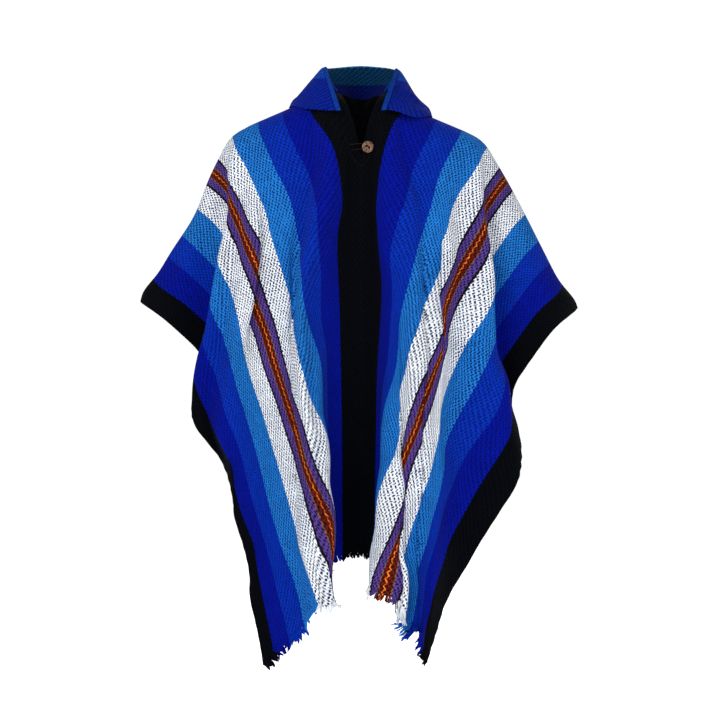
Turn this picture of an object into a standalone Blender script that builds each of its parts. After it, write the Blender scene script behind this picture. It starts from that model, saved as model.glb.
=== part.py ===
"""Andean poncho: two loom lengths joined at the centre, worn open at the neck, with a turn-down
collar, one button with its cord loop, and a frayed warp fringe at both hems.

Metres, +Z up, the front faces -Y, the wearer's left is +X.  The origin is the middle of the
neck at shoulder height, where the wearer holds the garment up.

Each cloth panel is laid out flat in cloth coordinates (s, t): s runs from the centre seam to the
outer selvage, t along the warp from the shoulder to the hem.  Folds are straight rays in the
cloth.  A ray leaves the slit, the centre seam or the shoulder line at the angle psi to the warp,
lies flat on the chest or the shoulder at first, turns within the length "turn" and then hangs
along its own direction.
"""
import math

import bpy
import numpy as np

# ---- cloth sizes -------------------------------------------------------------------------------
PANEL_W = 0.540        # loom width of one panel, selvage to selvage
PANEL_L = 0.898        # shoulder line to hem, front and back alike
WALL = 0.0026          # cloth thickness
GAP = 0.0003           # air between sewn pieces
BIAS = 0.055           # extra hang of a woven cloth pulled across the weave

NECK_X, NECK_Z = 0.060, 0.032          # side of the neck
SLOPE = math.radians(22.5)             # fall of the shoulder line
SLIT_FRONT, SLIT_BACK = 0.194, 0.095   # slit left open either side of the shoulder line
CHEST_TURN = 0.16                      # length within which the centre edge turns to hang
CHEST_FORE, BACK_FORE = 1.0, 3.0       # its tilt away from the wearer, degrees
CLOSING = 1.40                         # how steadily the slit closes
CANTED = 0.20                          # shoulder length over which the slit's slant dies away

# ---- fold tables: one row per ray, angles in degrees -------------------------------------------
# name, (start, psi, turn, lean, fore, bow) in front, the same at the back
# start: where the ray leaves, along the shoulder from the neck point if positive, down the slit
# and the centre seam if negative; lean: sideways tilt of the hanging ray, fore: its tilt away
# from the wearer, bow: how far its middle swings out sideways; the last two rows share turn and
# lean, so that front and back meet along the sleeve's ridge
RIGHT_PANEL = (
    ("centre", (-.420, 0, .10, 0, 1, 0), (-.420, 0, .10, 0, 3, 0)),
    ("floor", (-.340, 7, .14, 5, 2, 0), (-.320, 7, .14, 5, 3.5, 0)),
    ("wall", (-.290, 15, .16, 7, 4.5, .010), (-.240, 14, .16, 7, 6, .010)),
    ("lip", (-.250, 25, .16, 0, 14, .028), (-.170, 22, .16, 2, 13.5, .015)),
    ("bank", (-.140, 23.5, .12, 2.4, 11.8, .038), (-.120, 24, .09, 4, 12.5, .020)),
    ("foot", (-.010, 21.5, .14, 2, 9, .030), (-.060, 26, .10, 5, 7.5, .020)),
    ("neck", (.035, 30, .15, 4.3, 7, .028), (.010, 32, .16, 6, 8.5, .020)),
    ("fold", (.080, 40.5, .13, 5.8, 14, .020), (.080, 37, .13, 3.5, 12.5, .010)),
    ("hollow", (.110, 42, .12, 6.4, 8, 0), (.110, 41, .12, 6, 7, 0)),
    ("side", (.138, 44.5, .11, 10.2, 17, 0), (.138, 45, .11, 8.5, 16, 0)),
    ("under", (.144, 60, .10, 3, 1.5, 0), (.144, 58, .10, 3, 1.5, 0)),
    ("cuff", (.150, 67, .09, 9.5, 3.5, 0), (.150, 66, .09, 8.5, 4, 0)),
    ("flap", (.155, 79, .08, 20, 8.5, 0), (.155, 78, .08, 20, 10, 0)),
    ("ridge", (.160, 90, .06, 31, 0, 0), (.160, 90, .06, 31, 0, 0)),
)
LEFT_PANEL = (
    ("centre", (-.520, 0, .10, 0, 1, 0), (-.420, 0, .10, 0, 3, 0)),
    ("floor", (-.460, 7, .14, 3, 2, 0), (-.320, 7, .14, 4, 3.5, 0)),
    ("wall", (-.420, 15, .16, 6, 4.5, 0), (-.240, 14, .16, 6, 6.5, .010)),
    ("lip", (-.375, 26, .16, -4, 15, .010), (-.170, 22, .16, 2, 13.5, .015)),
    ("bank", (-.250, 26.5, .14, 1.5, 13.5, .020), (-.120, 23.5, .09, 3.5, 12.5, .020)),
    ("foot", (-.100, 26, .07, 3.2, 6.5, .026), (-.060, 25, .10, 4, 7.5, .020)),
    ("neck", (.010, 26.5, .16, 2.4, 8.5, .030), (.010, 27, .16, 4, 8.5, .020)),
    ("fold", (.090, 26.5, .14, -3.7, 12.5, .014), (.090, 30, .14, -1.5, 13, .010)),
    ("hollow", (.115, 31.5, .12, .5, 6.5, 0), (.115, 36, .12, 2, 6.5, 0)),
    ("side", (.128, 37, .11, 8.8, 15, 0), (.128, 41, .11, 7, 15, 0)),
    ("under", (.132, 49, .10, 2, 1.5, 0), (.132, 54, .10, 2, 1.5, 0)),
    ("cuff", (.137, 55, .09, 6.5, 5, 0), (.137, 61, .09, 6.5, 4.5, 0)),
    ("flap", (.141, 72, .08, 18, 14, 0), (.141, 75, .08, 18, 13, 0)),
    ("ridge", (.145, 90, .06, 30.5, 0, 0), (.145, 90, .06, 30.5, 0, 0)),
)
FRONT, BACK = -1, 1

# mesh steps: rays across each quarter of a panel and rungs down each ray
RAYS = 28
RUNGS = 24


# ---- the hung cloth ----------------------------------------------------------------------------
def unit(v):
    return v / np.linalg.norm(v, axis=-1, keepdims=True)


def smoothed(values, odd_start, odd_end, width):
    """Running mean that keeps the first and last value of the column."""
    half = width // 2
    head = values[1:half + 1][::-1]
    tail = values[-half - 1:-1][::-1]
    if odd_start:
        head = 2 * values[0] - head
    if odd_end:
        tail = 2 * values[-1] - tail
    padded = np.concatenate([head, values, tail])
    return np.convolve(padded, np.ones(2 * half + 1) / (2 * half + 1), "valid")


def ray_table(rows, face):
    """Dense table of start, psi, turn, lean, fore and bow with the folds rounded."""
    columns = np.array([row[1 if face == FRONT else 2] for row in rows]).T
    odd = ((0, 1), (1, 1), (0, 0), (1, 0), (0, 1), (1, 1))
    q = np.linspace(0, len(rows) - 1, 40 * (len(rows) - 1) + 1)
    table = []
    for column, (start, end) in zip(columns, odd):
        dense = np.interp(q, np.arange(len(rows)), column)
        for _ in range(2):
            dense = smoothed(dense, start, end, 36)
        table.append(dense)
    for k in (1, 3, 4):
        table[k] = np.radians(table[k])
    return q, table


def centre_edge(side, face, t):
    """Slit edge and centre seam at the distance t: place, way down and slant to the seam."""
    steps = np.linspace(0, PANEL_L, 400)
    w = np.clip(steps / CHEST_TURN, 0, 1)
    dip = w * w * (3 - 2 * w) * math.radians(90 - (CHEST_FORE if face == FRONT else BACK_FORE))
    run = np.concatenate([[0], np.cumsum(np.cos(dip))[:-1]]) * steps[1]
    fall = np.concatenate([[0], np.cumsum(np.sin(dip))[:-1]]) * steps[1]
    slit = SLIT_FRONT if face == FRONT else SLIT_BACK
    still = 1 - np.clip(t / slit, 0, 1)
    place = np.stack([side * NECK_X * still ** CLOSING, face * np.interp(t, steps, run),
                      NECK_Z - np.interp(t, steps, fall)], -1)
    dip = np.interp(t, steps, dip)
    way = np.stack([0 * dip, face * np.cos(dip), -np.sin(dip)], -1)
    slant = math.atan(NECK_X * CLOSING / slit) * still
    return place, way, slant


def hang(table, side, face, q, rho):
    """Cloth coordinates and position of points rho along the rays q."""
    grid, columns = table
    start, psi, turn, lean, fore, bow = (np.interp(q, grid, c) for c in columns)
    s0, t0 = np.maximum(start, 0), np.maximum(-start, 0)
    place, way, slant = centre_edge(side, face, t0)
    along = np.array([side * math.cos(SLOPE), 0.0, -math.sin(SLOPE)])
    place = place + s0[..., None] * along
    across = unit(along - way * (way @ along)[..., None])
    aim = (psi - slant * np.clip(1 - s0 / CANTED, 0, 1) * np.cos(psi))[..., None]
    flat = way * np.cos(aim) + across * np.sin(aim)
    down = np.stack([side * np.sin(lean) * np.cos(fore), face * np.sin(fore),
                     -np.cos(lean) * np.cos(fore)], -1)
    angle = np.maximum(np.arccos(np.clip((flat * down).sum(-1), -1, 1)), 1e-3)
    steps = 18
    for i in range(steps):
        w = np.clip(rho * (i + 0.5) / steps / turn, 0, 1)
        w = w * w * (3 - 2 * w)
        heading = (flat * np.sin((1 - w) * angle)[..., None]
                   + down * np.sin(w * angle)[..., None]) / np.sin(angle)[..., None]
        place += heading * ((1 + BIAS * np.sin(2 * psi) * w) * rho / steps)[..., None]
    far = rho / (PANEL_L - t0)
    place[..., 0] += side * bow * np.maximum(4 * far * (1 - far), 0) ** 1.5
    return s0 + rho * np.sin(psi), t0 + rho * np.cos(psi), place


def ray_length(table, q):
    """Length of each ray up to the selvage or the hem, whichever comes first."""
    grid, columns = table
    start, psi = np.interp(q, grid, columns[0]), np.interp(q, grid, columns[1])
    to_edge = (PANEL_W - np.maximum(start, 0)) / np.maximum(np.sin(psi), 1e-6)
    to_hem = (PANEL_L + np.minimum(start, 0)) / np.maximum(np.cos(psi), 1e-6)
    return np.minimum(to_edge, to_hem)


def s_at(table, t):
    """Cloth coordinate s of every ray of the table at the distance t from the shoulder line."""
    start, psi = table[1][0], np.minimum(table[1][1], math.radians(89.0))
    return np.maximum(start, 0) + (t + np.minimum(start, 0)) * np.tan(psi)


def corner_ray(table):
    """The ray that ends in the corner of hem and selvage."""
    s = s_at(table, PANEL_L)
    last = np.argmax(s > PANEL_W) + 1
    return float(np.interp(PANEL_W, s[:last], table[0][:last]))


# ==== blender ====================================================================================
def cloth_points(table, side, face, s, t):
    """Positions of cloth points (s, t), t measured down from the shoulder line."""
    q = np.array([np.interp(a, s_at(table, b), table[0]) for a, b in zip(s, t)])
    start, psi = (np.interp(q, table[0], table[1][k]) for k in (0, 1))
    return hang(table, side, face, q, (t + np.minimum(start, 0)) / np.cos(psi))[2]


def panel_grid(rows, side):
    """Rays by rungs of one panel, front and back, sharing the shoulder line and the sleeve ridge.

    Returns points, cloth coordinates and the quads of one sheet.
    """
    points, cloth, quads, index = [], [], [], {}
    tables = {face: ray_table(rows, face) for face in (FRONT, BACK)}
    stops = [0.0] + sorted(corner_ray(table) for table in tables.values()) + [len(rows) - 1.0]
    counts = [max(1, round(RAYS * (b - a) / stops[-1])) for a, b in zip(stops, stops[1:])]
    q = np.concatenate([[0.0]] + [np.linspace(a, b, n + 1)[1:]
                                  for a, b, n in zip(stops, stops[1:], counts)])
    v = np.linspace(0, 1, RUNGS + 1) ** 1.2
    qq, vv = np.meshgrid(q, v, indexing="ij")

    for face, table in tables.items():
        s, t, place = hang(table, side, face, qq, vv * ray_length(table, qq))
        ids = np.zeros(qq.shape, int)
        for i, j in np.ndindex(*qq.shape):
            key = tuple(np.round(place[i, j], 6))
            if key not in index:
                index[key] = len(points)
                points.append(place[i, j])
                cloth.append((s[i, j], -face * t[i, j]))
            ids[i, j] = index[key]
        for i, j in np.ndindex(len(q) - 1, RUNGS):
            quad = (ids[i, j], ids[i + 1, j], ids[i + 1, j + 1], ids[i, j + 1])
            quads.append(quad if side * face < 0 else quad[::-1])
    return np.array(points), np.array(cloth), quads


def sheet_normals(points, quads):
    """Unit normals at the points of a sheet."""
    normals = np.zeros_like(points)
    for quad in quads:
        a, b, c, d = points[list(quad)]
        normals[list(quad)] += np.cross(c - a, d - b)
    return unit(normals)


def thicken(points, quads, wall):
    """Closed wall of the given thickness about a sheet: outer points first, then inner."""
    normals = sheet_normals(points, quads)
    n = len(points)
    both = np.concatenate([points + normals * wall / 2, points - normals * wall / 2])
    faces = list(quads) + [tuple(n + k for k in reversed(quad)) for quad in quads]
    edges = {(a, b) for quad in quads for a, b in zip(quad, quad[1:] + quad[:1])}
    faces += [(b, a, n + a, n + b) for a, b in edges if (b, a) not in edges]
    return both, faces


def add_mesh(name, points, faces, material, collection):
    mesh = bpy.data.meshes.new(name)
    mesh.from_pydata([tuple(map(float, p)) for p in points], [], [tuple(map(int, f)) for f in faces])
    mesh.materials.append(material)
    body = bpy.data.objects.new(name, mesh)
    collection.objects.link(body)
    return body


def add_panel(name, sheet, side, material, collection):
    """One loom length over one shoulder, hem to hem."""
    points, cloth, quads = sheet
    both, faces = thicken(points, quads, WALL)
    seam = np.tile(cloth[:, 0] < 1e-6, 2)
    both[seam, 0] = side * np.maximum(side * both[seam, 0], GAP / 2)
    return add_mesh(name, both, faces, material, collection)


# ---- fringe: warp ends left at the hem, in locks on a narrow heading ---------------------------
LOCKS = 42
HEADING = 0.005        # depth of the heading below the hem
LOCK_SHORT, LOCK_LONG = 0.008, 0.016


def hem_line(sheet, face):
    """Places, cloth normals and in-plane down directions along the hem, by s."""
    points, cloth, quads = sheet
    at = np.where(np.abs(cloth[:, 1] + face * PANEL_L) < 1e-5)[0]
    at = at[np.argsort(cloth[at, 0])]
    normal = sheet_normals(points, quads)[at]
    down = unit(np.cross(unit(np.gradient(points[at], axis=0)), normal))
    down *= -np.sign(down[:, 2:])
    s = np.linspace(0.010, PANEL_W - 0.005, 2 * LOCKS)
    lines = [np.stack([np.interp(s, cloth[at, 0], line[:, k]) for k in range(3)], -1)
             for line in (points[at], normal, down)]
    return lines[0], unit(lines[1]), unit(lines[2])


def add_fringe(name, sheet, face, material, collection):
    """A heading strip along one hem with locks grown from its lower face."""
    hem, normal, down = hem_line(sheet, face)
    top = hem + down * 4 * GAP
    low = top + down * HEADING
    normal = normal * 0.0007 * (-1 if np.cross(hem[1] - hem[0], down[0]) @ normal[0] < 0 else 1)
    rings = np.stack([top + normal, top - normal, low - normal, low + normal], 1)
    points = list(rings.reshape(-1, 3))
    faces = [(0, 1, 2, 3), tuple(4 * (2 * LOCKS - 1) + k for k in (3, 2, 1, 0))]
    for j in range(2 * LOCKS - 1):
        a, b = 4 * j, 4 * j + 4
        for k in (0, 1, 3):
            m = (k + 1) % 4
            faces.append((a + k, b + k, b + m, a + m))
        root = (a + 2, b + 2, b + 3, a + 3)
        if j % 2:
            faces.append(root)
            continue
        reach = LOCK_SHORT + (LOCK_LONG - LOCK_SHORT) * (0.5 + 0.5 * math.sin(2.3 * j + face))
        sway = 0.15 * math.sin(1.7 * j)
        corners = np.array([points[k] for k in root])
        centre = corners.mean(0)
        across = unit(corners[1] - corners[0])
        tip = centre + (corners - centre) * 0.45 + (down[j] + sway * across) * reach
        at = len(points)
        points += list(tip)
        faces.append((at, at + 1, at + 2, at + 3))
        for k in range(4):
            m = (k + 1) % 4
            faces.append((root[k], root[m], at + m, at + k))
    return add_mesh(name, points, [f[::-1] for f in faces], material, collection)


# ---- collar ------------------------------------------------------------------------------------
# station: slit face, distance from the shoulder line along the slit, then the fold line,
# the middle of the fall and its outer edge, for the wearer's left half
COLLAR = (
    (FRONT, 0.0420, (0.067, -0.030, 0.076), (0.0525, -0.077, 0.037), (0.036, -0.114, -0.011)),
    (FRONT, 0.0220, (0.076, -0.008, 0.079), (0.092, -0.047, 0.043), (0.080, -0.097, -0.003)),
    (FRONT, 0.0001, (0.078, 0.020, 0.082), (0.108, 0.006, 0.043), (0.131, -0.024, 0.009)),
    (BACK, 0.0500, (0.060, 0.068, 0.090), (0.090, 0.084, 0.056), (0.114, 0.086, 0.020)),
    (BACK, 0.0930, (0.000, 0.094, 0.098), (0.000, 0.113, 0.062), (0.000, 0.128, 0.014)),
)
COLLAR_WALL = 0.0024
COLLAR_AROUND, COLLAR_DOWN = 28, 12


def spline(knots, u):
    """Points on the Catmull-Rom curve through the knots, u from 0 to 1."""
    knots = np.asarray(knots, float)
    first, last = 2 * knots[0] - knots[1], 2 * knots[-1] - knots[-2]
    p = np.concatenate([[first], knots, [last]])
    x = np.asarray(u) * (len(knots) - 1)
    i = np.minimum(x.astype(int), len(knots) - 2)
    f = (x - i)[:, None]
    a, b, c, d = p[i], p[i + 1], p[i + 2], p[i + 3]
    return b + 0.5 * f * (c - a + f * (2 * a - 5 * b + 4 * c - d + f * (3 * (b - c) + d - a)))


def collar_sheet():
    """Grid of the collar from its seam, up the stand, over the fold and down the fall."""
    lines = [[], [], [], [], []]
    for face, rho, fold, middle, edge in COLLAR:
        seam = centre_edge(1, face, np.array([rho]))[0][0]
        rise = unit(np.array(fold) - seam)
        foot = seam + rise * 0.0032 + np.array([0.0, 0.0, 0.0014])
        stand = (foot + np.array(fold)) / 2 * np.array([1.08, 1, 1]) + np.array([0.0, 0.002, 0.0])
        for line, p in zip(lines, (foot, stand, fold, middle, edge)):
            line.append(np.array(p, float))
    mirror = np.array([-1, 1, 1])
    around = [spline([p * mirror for p in line] + line[-2::-1], np.linspace(0, 1, COLLAR_AROUND + 1))
              for line in lines]
    sheet = [spline([line[i] for line in around], np.linspace(0, 1, COLLAR_DOWN + 1))
             for i in range(COLLAR_AROUND + 1)]
    return np.array(sheet)


def add_collar(material, collection):
    sheet = collar_sheet()
    across, down = sheet.shape[:2]
    quads = [(i * down + j, i * down + j + 1, (i + 1) * down + j + 1, (i + 1) * down + j)
             for i in range(across - 1) for j in range(down - 1)]
    points, faces = thicken(sheet.reshape(-1, 3), quads, COLLAR_WALL)
    return add_mesh("collar", points, faces, material, collection)


# ---- button and loop ---------------------------------------------------------------------------
BUTTON_S, BUTTON_T = 0.009, 0.172      # on the wearer's left panel
BUTTON_R = 0.0105
# radius and height above the cloth of the turned button, from its shank to its face
BUTTON_TURN = ((0.0021, 0.0004), (0.0021, 0.0036), (0.0090, 0.0040), (0.0105, 0.0054),
               (0.0100, 0.0068), (0.0080, 0.0074), (0.0072, 0.0068))
CORD_R = 0.0009


def cloth_frame(rows, side, s, t):
    """Outer face of the front cloth at (s, t), with the ways across, up and out of it."""
    s = np.maximum(s + np.array([-0.005, 0.0, 0.005, 0.0]), 0.001)
    t = t + np.array([0.0, -0.005, 0.0, 0.005])
    near = cloth_points(ray_table(rows, FRONT), side, FRONT, s, t)
    up = unit(near[1] - near[3])
    out = unit(np.cross(near[2] - near[0], up)) * side
    return near.mean(0) + out * WALL / 2, unit(np.cross(up, out)), up, out


def add_button(material, collection):
    base, across, up, out = cloth_frame(LEFT_PANEL, 1, BUTTON_S, BUTTON_T)
    around = 24
    points, faces = [], []
    for r, h in BUTTON_TURN:
        for k in range(around):
            a = 2 * math.pi * k / around
            points.append(base + (across * math.cos(a) + up * math.sin(a)) * r + out * h)
    for ring in range(len(BUTTON_TURN) - 1):
        for k in range(around):
            m = (k + 1) % around
            a, b = ring * around, (ring + 1) * around
            faces.append((a + k, a + m, b + m, b + k))
    faces.append(tuple(range(around))[::-1])
    faces.append(tuple((len(BUTTON_TURN) - 1) * around + k for k in range(around)))
    return add_mesh("button", points, faces, material, collection)


def add_loop(material, collection):
    """Cord from the other slit edge, round the button's shank and back."""
    base, across, up, out = cloth_frame(LEFT_PANEL, 1, BUTTON_S, BUTTON_T)
    path = [base + across * x + up * y + out * (0.0012 + CORD_R + rise) for x, y, rise in (
        (-0.009, 0.0044, 0.0006), (-0.003, 0.0040, 0.0), (0.0014, 0.0036, 0.0), (0.0038, 0.0, 0.0),
        (0.0014, -0.0036, 0.0), (-0.003, -0.0040, 0.0), (-0.009, -0.0044, 0.0006))]
    for s in (0.004, 0.013):
        ends = [cloth_frame(RIGHT_PANEL, -1, s, BUTTON_T + y) for y in (-0.005, 0.005)]
        ends = [place + away * (0.0018 + CORD_R) for place, _, _, away in ends]
        path = [ends[0]] + path + [ends[1]]
    line = spline(path, np.linspace(0, 1, 25))
    curve = bpy.data.curves.new("button_loop", "CURVE")
    curve.dimensions = "3D"
    curve.bevel_depth = CORD_R
    curve.bevel_resolution = 1
    curve.use_fill_caps = True
    strand = curve.splines.new("POLY")
    strand.points.add(len(line) - 1)
    for point, p in zip(strand.points, line):
        point.co = (*map(float, p), 1.0)
    curve.materials.append(material)
    body = bpy.data.objects.new("button_loop", curve)
    collection.objects.link(body)
    return body


# ---- materials and assembly --------------------------------------------------------------------
def material(name, colour, roughness):
    made = bpy.data.materials.new(name)
    made.use_nodes = True
    shader = made.node_tree.nodes["Principled BSDF"]
    shader.inputs["Base Color"].default_value = (*colour, 1.0)
    shader.inputs["Roughness"].default_value = roughness
    return made


def build():
    for body in list(bpy.data.objects):
        bpy.data.objects.remove(body, do_unlink=True)
    poncho = bpy.data.collections.new("andean_poncho")
    bpy.context.scene.collection.children.link(poncho)
    panel_wool = material("striped wool", (0.01, 0.07, 0.42), 0.95)
    collar_wool = material("blue wool", (0.01, 0.05, 0.35), 0.95)
    frayed_wool = material("frayed wool", (0.20, 0.35, 0.70), 1.0)
    shell = material("coconut shell", (0.25, 0.15, 0.08), 0.5)
    cord = material("brown cord", (0.05, 0.03, 0.02), 0.9)

    for name, rows, side in (("panel_right", RIGHT_PANEL, -1), ("panel_left", LEFT_PANEL, 1)):
        sheet = panel_grid(rows, side)
        add_panel(name, sheet, side, panel_wool, poncho)
        for face, where in ((FRONT, "front"), (BACK, "back")):
            add_fringe(f"fringe_{where}_{name[6:]}", sheet, face, frayed_wool, poncho)
    add_collar(collar_wool, poncho)
    add_button(shell, poncho)
    add_loop(cord, poncho)


build()
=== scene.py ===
"""Looks of the andean poncho: a fine shell over each loom length, with the woven stripes, the
frayed warp, the collar, the button with its cord, and the hand sewing."""
import math

import bpy
import numpy as np
from mathutils.bvhtree import BVHTree
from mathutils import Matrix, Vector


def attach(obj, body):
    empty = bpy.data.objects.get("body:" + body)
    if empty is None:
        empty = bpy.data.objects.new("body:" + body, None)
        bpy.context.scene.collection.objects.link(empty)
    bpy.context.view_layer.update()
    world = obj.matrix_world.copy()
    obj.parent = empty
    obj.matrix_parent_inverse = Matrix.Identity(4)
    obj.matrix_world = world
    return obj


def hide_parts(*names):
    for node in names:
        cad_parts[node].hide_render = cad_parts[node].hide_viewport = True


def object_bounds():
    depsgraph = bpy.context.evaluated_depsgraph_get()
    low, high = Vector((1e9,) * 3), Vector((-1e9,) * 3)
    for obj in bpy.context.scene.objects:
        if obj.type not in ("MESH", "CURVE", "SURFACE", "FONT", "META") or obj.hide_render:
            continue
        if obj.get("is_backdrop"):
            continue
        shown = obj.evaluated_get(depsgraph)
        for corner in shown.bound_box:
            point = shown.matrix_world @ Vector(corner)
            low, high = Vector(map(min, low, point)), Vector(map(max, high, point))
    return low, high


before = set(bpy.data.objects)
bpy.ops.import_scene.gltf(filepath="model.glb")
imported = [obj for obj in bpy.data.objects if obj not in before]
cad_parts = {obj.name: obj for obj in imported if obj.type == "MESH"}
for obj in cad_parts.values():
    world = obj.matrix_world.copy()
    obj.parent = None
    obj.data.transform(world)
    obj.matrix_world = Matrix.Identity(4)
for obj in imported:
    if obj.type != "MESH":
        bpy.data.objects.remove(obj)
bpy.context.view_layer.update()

# ---- cloth sizes, as in the part ----
PANEL_W, PANEL_L = 0.540, 0.898  # a loom length's width, and its way from shoulder to hem
WALL = 0.0026
BIAS = 0.055  # stretch of cloth that hangs on the bias
NECK_X, NECK_Z = 0.060, 0.032  # end of the shoulder line at the neck
SLOPE = math.radians(22.5)  # fall of the shoulder line
SLIT_FRONT, SLIT_BACK = 0.194, 0.095  # lengths of the neck slit
CHEST_TURN = 0.16  # way in which the centre turns down
CHEST_FORE, BACK_FORE = 1.0, 3.0  # degrees from plumb below it
CLOSING = 1.40  # how the open slit narrows to its end
CANTED = 0.20  # way along the shoulder over which the slit's slant fades
FRONT, BACK = -1, 1

# name, (start, psi, turn, lean, fore, bow) in front, the same at the back
RIGHT_PANEL = (
    ("centre", (-.420, 0, .10, 0, 1, 0), (-.420, 0, .10, 0, 3, 0)),
    ("floor", (-.340, 7, .14, 5, 2, 0), (-.320, 7, .14, 5, 3.5, 0)),
    ("wall", (-.290, 15, .16, 7, 4.5, .010), (-.240, 14, .16, 7, 6, .010)),
    ("lip", (-.250, 25, .16, 0, 14, .028), (-.170, 22, .16, 2, 13.5, .015)),
    ("bank", (-.140, 23.5, .12, 2.4, 11.8, .038), (-.120, 24, .09, 4, 12.5, .020)),
    ("foot", (-.010, 21.5, .14, 2, 9, .030), (-.060, 26, .10, 5, 7.5, .020)),
    ("neck", (.035, 30, .15, 4.3, 7, .028), (.010, 32, .16, 6, 8.5, .020)),
    ("fold", (.080, 40.5, .13, 5.8, 14, .020), (.080, 37, .13, 3.5, 12.5, .010)),
    ("hollow", (.110, 42, .12, 6.4, 8, 0), (.110, 41, .12, 6, 7, 0)),
    ("side", (.138, 44.5, .11, 10.2, 17, 0), (.138, 45, .11, 8.5, 16, 0)),
    ("under", (.144, 60, .10, 3, 1.5, 0), (.144, 58, .10, 3, 1.5, 0)),
    ("cuff", (.150, 67, .09, 9.5, 3.5, 0), (.150, 66, .09, 8.5, 4, 0)),
    ("flap", (.155, 79, .08, 20, 8.5, 0), (.155, 78, .08, 20, 10, 0)),
    ("ridge", (.160, 90, .06, 31, 0, 0), (.160, 90, .06, 31, 0, 0)),
)
LEFT_PANEL = (
    ("centre", (-.520, 0, .10, 0, 1, 0), (-.420, 0, .10, 0, 3, 0)),
    ("floor", (-.460, 7, .14, 3, 2, 0), (-.320, 7, .14, 4, 3.5, 0)),
    ("wall", (-.420, 15, .16, 6, 4.5, 0), (-.240, 14, .16, 6, 6.5, .010)),
    ("lip", (-.375, 26, .16, -4, 15, .010), (-.170, 22, .16, 2, 13.5, .015)),
    ("bank", (-.250, 26.5, .14, 1.5, 13.5, .020), (-.120, 23.5, .09, 3.5, 12.5, .020)),
    ("foot", (-.100, 26, .07, 3.2, 6.5, .026), (-.060, 25, .10, 4, 7.5, .020)),
    ("neck", (.010, 26.5, .16, 2.4, 8.5, .030), (.010, 27, .16, 4, 8.5, .020)),
    ("fold", (.090, 26.5, .14, -3.7, 12.5, .014), (.090, 30, .14, -1.5, 13, .010)),
    ("hollow", (.115, 31.5, .12, .5, 6.5, 0), (.115, 36, .12, 2, 6.5, 0)),
    ("side", (.128, 37, .11, 8.8, 15, 0), (.128, 41, .11, 7, 15, 0)),
    ("under", (.132, 49, .10, 2, 1.5, 0), (.132, 54, .10, 2, 1.5, 0)),
    ("cuff", (.137, 55, .09, 6.5, 5, 0), (.137, 61, .09, 6.5, 4.5, 0)),
    ("flap", (.141, 72, .08, 18, 14, 0), (.141, 75, .08, 18, 13, 0)),
    ("ridge", (.145, 90, .06, 30.5, 0, 0), (.145, 90, .06, 30.5, 0, 0)),
)

# soft creases: row of the fold table where one runs, its width in rows, where along the ray it
# begins and ends (0 to 1), and its height in mm, negative for a trough
CREASES = {
    (-1, FRONT): (
        (2.6, .30, .35, .95, 1.6), (4.5, .28, .10, .55, 1.8), (5.4, .22, .30, .95, -2.6),
        (6.4, .20, .12, .60, 2.0), (7.7, .22, .35, 1.1, -2.4), (8.4, .16, .20, .80, 1.6),
        (9.5, .25, .45, 1.2, 2.4), (10.7, .25, .15, .90, -2.2), (12.3, .30, .40, 1.2, 2.5)),
    (1, FRONT): (
        (2.5, .30, .45, 1.1, 1.5), (4.4, .25, .20, .70, -2.0), (5.6, .22, .15, .65, 2.0),
        (6.5, .20, .40, 1.0, -2.6), (7.5, .22, .10, .55, 1.8), (8.6, .20, .35, 1.1, 2.2),
        (9.6, .22, .50, 1.2, -2.0), (10.6, .25, .20, .80, 2.2), (12.4, .28, .30, 1.1, -2.4)),
    (-1, BACK): (
        (2.5, .30, .40, 1.0, -1.5), (4.3, .25, .15, .60, 2.2), (5.5, .22, .35, 1.0, -2.4),
        (6.6, .20, .12, .70, 2.0), (7.6, .20, .40, 1.1, 2.0), (8.5, .18, .25, .85, -1.8),
        (10.5, .25, .20, .90, 2.4), (12.2, .30, .35, 1.2, -2.2)),
    (1, BACK): (
        (2.7, .30, .30, .90, 1.6), (4.5, .25, .30, .85, -2.2), (5.3, .22, .10, .55, 1.8),
        (6.4, .22, .30, 1.0, 2.4), (7.6, .20, .15, .60, -1.8), (8.6, .20, .45, 1.1, 2.0),
        (10.7, .25, .30, 1.0, -2.0), (12.4, .30, .25, 1.0, 2.4)),
}

# folds laid in the cloth: panel side, where one starts and ends in the cloth as (s, v) with v > 0 in
# front, how far its middle turns over in degrees, and half the width of cloth in which it does so
TUCKS = (
    (-1, (.185, .165), (.340, .415), 122, .0105),
    (-1, (.115, .180), (.240, .520), 55, .0110),
    (-1, (.310, .740), (.352, .940), 48, .0095),
    (1, (.165, .235), (.310, .485), 122, .0105),
    (1, (.150, .400), (.262, .640), 40, .0110),
    (1, (.233, .560), (.345, .985), 122, .0115),
    (-1, (.330, -.560), (.190, -.250), 70, .0130),
    (-1, (.380, -.900), (.290, -.640), 60, .0120),
    (1, (.300, -.520), (.175, -.220), 75, .0130),
    (1, (.345, -.930), (.260, -.600), 70, .0125),
)

# how the worn cloth settles from the plain hang: panel side, height of the middle and spread in
# metres, where it begins and where it ends across from the centre, mm outward and mm down
SETTLES = (
    (1, .020, .170, (.045, .115), (.225, .310), 0, 17),
    (-1, -.194, .055, (.200, .280), (.500, .600), -10, 0),
    (-1, -.333, .026, (.300, .370), (.500, .600), 10, 0),
    (1, -.352, .028, (.300, .370), (.500, .600), 12, 0),
)

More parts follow.
